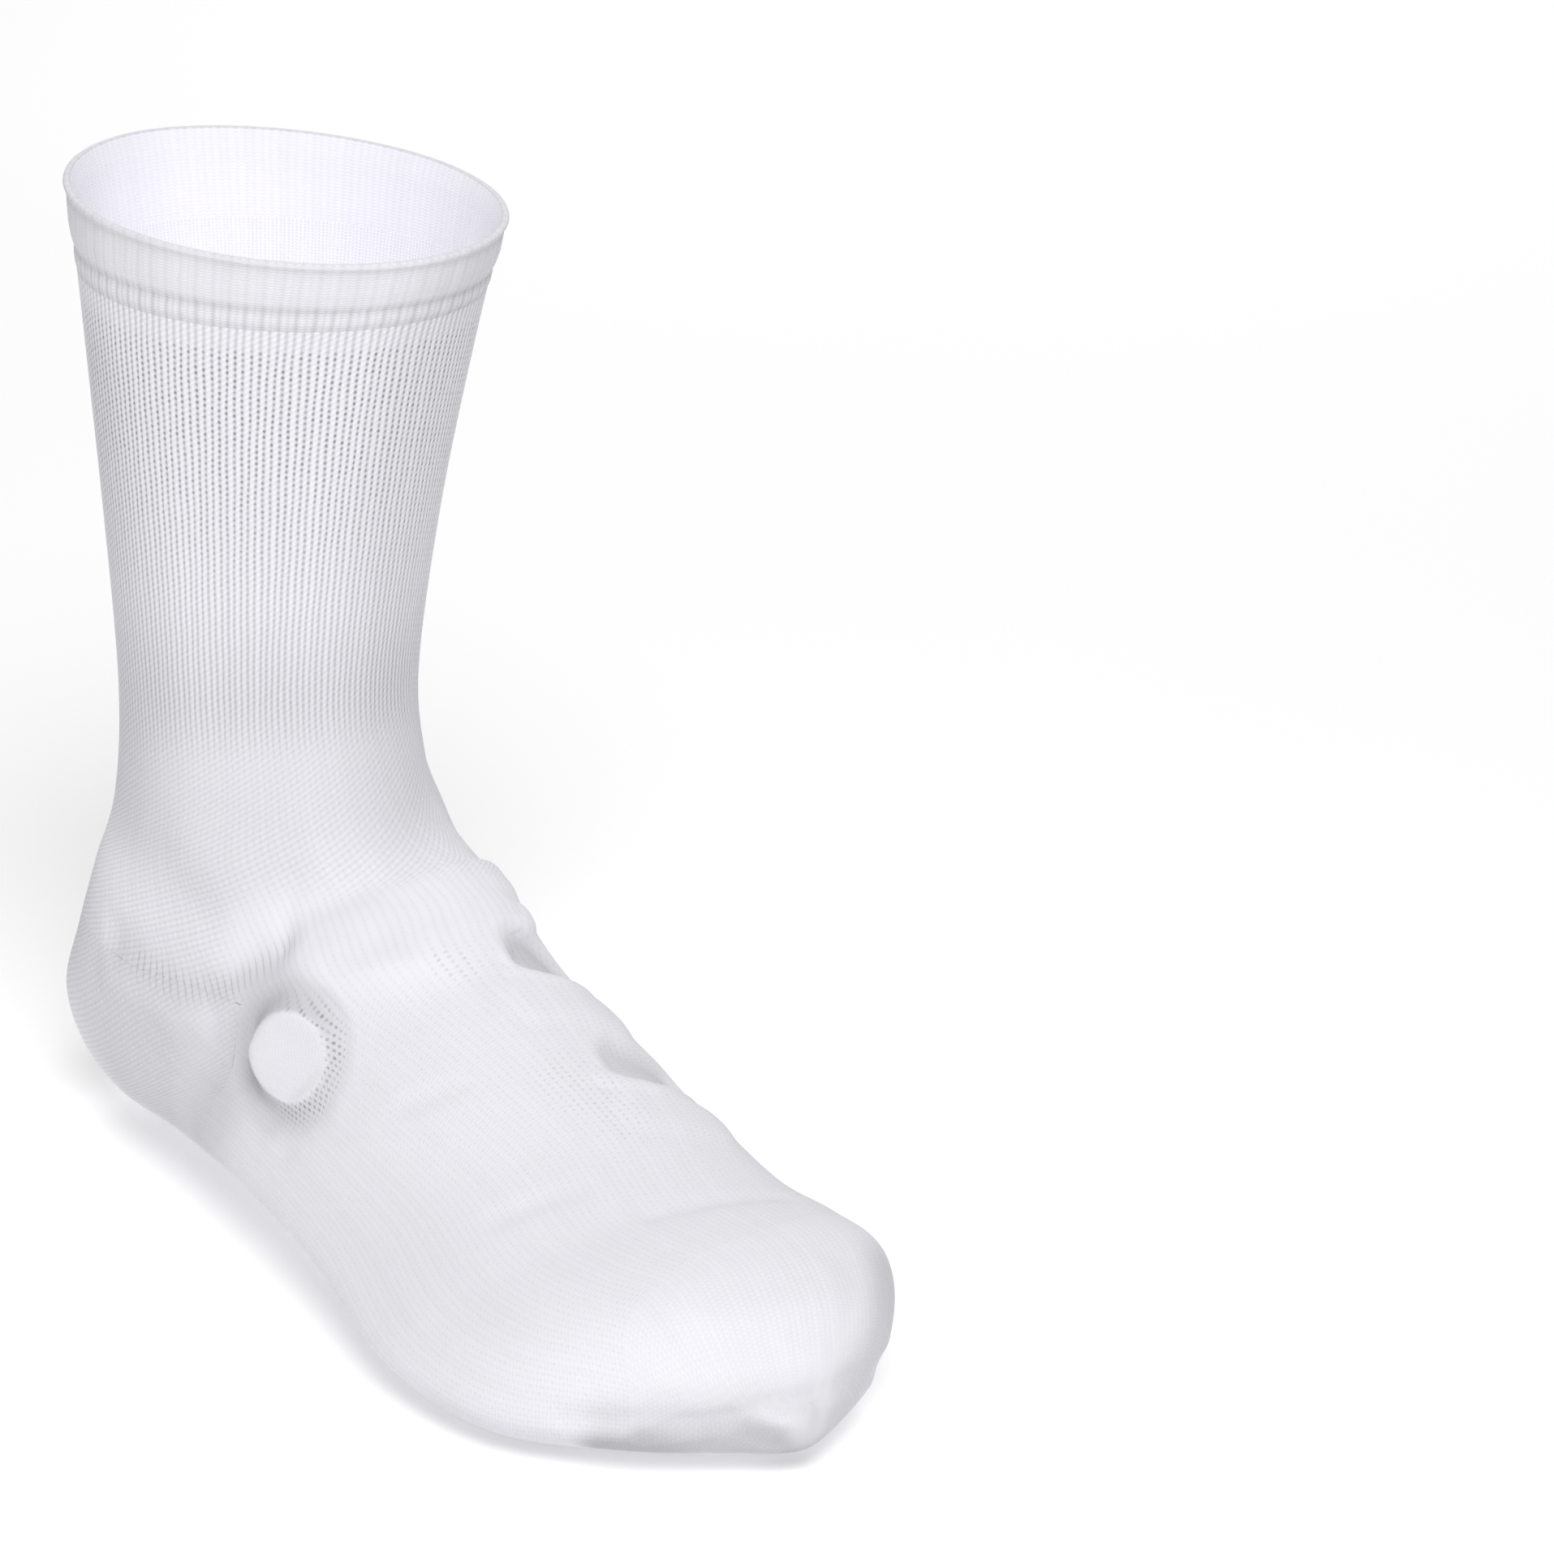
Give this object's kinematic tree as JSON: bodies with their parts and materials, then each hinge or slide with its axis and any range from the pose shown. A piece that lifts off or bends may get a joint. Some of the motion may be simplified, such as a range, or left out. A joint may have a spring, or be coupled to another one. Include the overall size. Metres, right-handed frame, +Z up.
{
  "type": "knitted cycling overshoe",
  "caption": "White knitted cycling overshoe for the right foot: ribbed welt, open-mesh leg, turned heel, sleeve foot with a hemmed cleat opening in its sole, and a closed toe.",
  "frame": {"origin": "the seat of the shoe: the inner face of the sole, straight below the ankle", "axes": "+X to the toe, +Y to the wearer's left (the inner side of this right foot), +Z up the leg"},
  "size_m": [0.285, 0.1075, 0.2511],
  "materials": {
    "welt_rib": "matt white double-layer rib of fine elastic yarn",
    "leg_mesh": "matt white open mesh, eyelet columns between plain wales",
    "heel_knit": "matt white dense knit in beaded courses",
    "foot_knit": "matt white fine bird's-eye knit",
    "hem_rib": "matt white rolled rib",
    "toe_knit": "matt white fine knit in close courses"
  },
  "bodies": {
    "root": {"cuff": "welt_rib", "leg": "leg_mesh", "heel_pocket": "heel_knit", "foot": "foot_knit", "cleat_hem": "hem_rib", "toe_cap": "toe_knit"}
  },
  "joints": []
}
